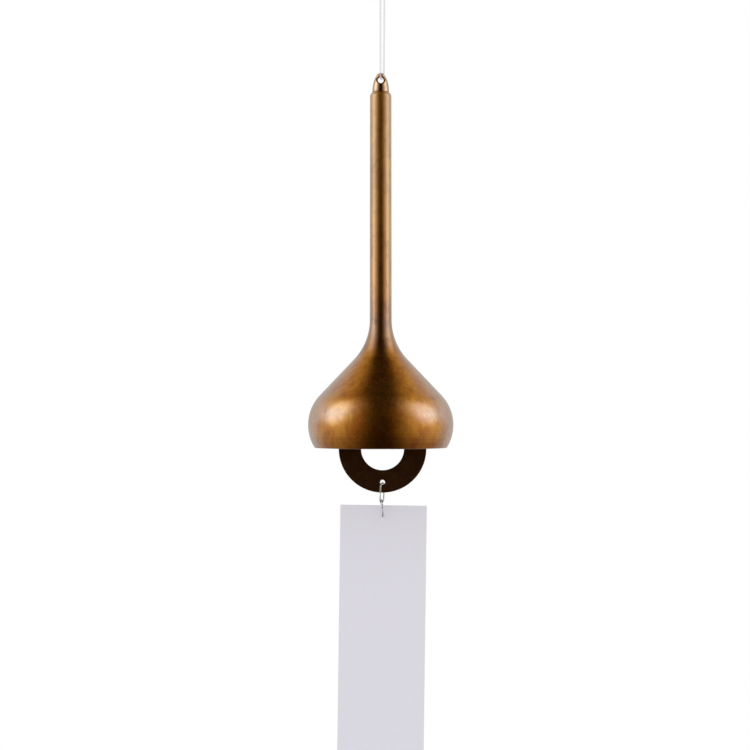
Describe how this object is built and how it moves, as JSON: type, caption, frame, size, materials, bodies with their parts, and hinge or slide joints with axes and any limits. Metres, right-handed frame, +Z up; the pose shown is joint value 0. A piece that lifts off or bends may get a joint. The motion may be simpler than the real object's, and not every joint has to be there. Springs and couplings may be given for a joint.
{
  "type": "furin wind bell",
  "caption": "Turned brass wind bell on a long slim neck, hung by a doubled line, with a flat ring clapper, wire links and a blank paper strip.",
  "frame": {"origin": "inside the top of the hanging loop, where a hook carries the object", "axes": "+Z up along the bell's axis, +X to the right and -Y towards a person who faces the paper strip"},
  "size_m": [0.06, 0.06, 0.4083],
  "materials": {
    "brushed_brass": "satin, fine turning lines, golden brown",
    "polished_brass": "polished",
    "darkened_brass": "dark brown, matte",
    "steel_wire": "bright wire",
    "nylon_line": "off-white line",
    "strip_paper": "uncoated, pale lilac grey"
  },
  "bodies": {
    "hook_loop": {"hanging_loop": "nylon_line"},
    "top_knot": {"line_knot": "nylon_line"},
    "doubled_line": {"hanging_line": "nylon_line"},
    "bell": {"bell_body": "brushed_brass", "eye_tip": "polished_brass", "clapper_hanger": "polished_brass"},
    "thread_top": {"thread_eye_loop": "nylon_line", "thread_knot": "nylon_line"},
    "thread_loop": {"clapper_thread": "nylon_line"},
    "clapper": {"ring_clapper": "darkened_brass"},
    "first_link": {"upper_link": "steel_wire"},
    "second_link": {"lower_link": "steel_wire"},
    "strip": {"paper_strip": "strip_paper"}
  },
  "joints": [
    {"name": "line_swing_front_back", "type": "hinge", "parent": "hook_loop", "child": "top_knot", "pos_m": [0.00072, 0, -0.0152], "axis": [1, 0, 0], "range_deg": [-30, 30]},
    {"name": "line_twist", "type": "hinge", "parent": "top_knot", "child": "doubled_line", "pos_m": [0.00072, 0, -0.0152], "axis": [0, 0, 1], "range_deg": [-90, 90]},
    {"name": "bell_swing_sideways", "type": "hinge", "parent": "doubled_line", "child": "bell", "pos_m": [0, 0, -0.052], "axis": [0, 1, 0], "range_deg": [-45, 45]},
    {"name": "clapper_swing_front_back", "type": "hinge", "parent": "bell", "child": "thread_top", "pos_m": [0.00075, 0, -0.17042], "axis": [1, 0, 0], "range_deg": [-18, 18]},
    {"name": "clapper_twist", "type": "hinge", "parent": "thread_top", "child": "thread_loop", "pos_m": [0.00075, 0, -0.17312], "axis": [0, 0, 1], "range_deg": [-180, 180]},
    {"name": "clapper_swing_sideways", "type": "hinge", "parent": "thread_loop", "child": "clapper", "pos_m": [0.00075, 0, -0.1902], "axis": [0, 1, 0], "range_deg": [-14, 14]},
    {"name": "first_link_swing", "type": "hinge", "parent": "clapper", "child": "first_link", "pos_m": [0.00075, 0, -0.2178], "axis": [0, -1, 0], "range_deg": [-40, 40]},
    {"name": "second_link_swing", "type": "hinge", "parent": "first_link", "child": "second_link", "pos_m": [0.0005, 0.00018, -0.22721], "axis": [0.9936, 0.1044, 0.0434], "range_deg": [-40, 40]},
    {"name": "strip_swing_sideways", "type": "hinge", "parent": "second_link", "child": "strip", "pos_m": [0.00072, 0.00021, -0.23269], "axis": [0, 1, 0], "range_deg": [-20, 20]}
  ]
}
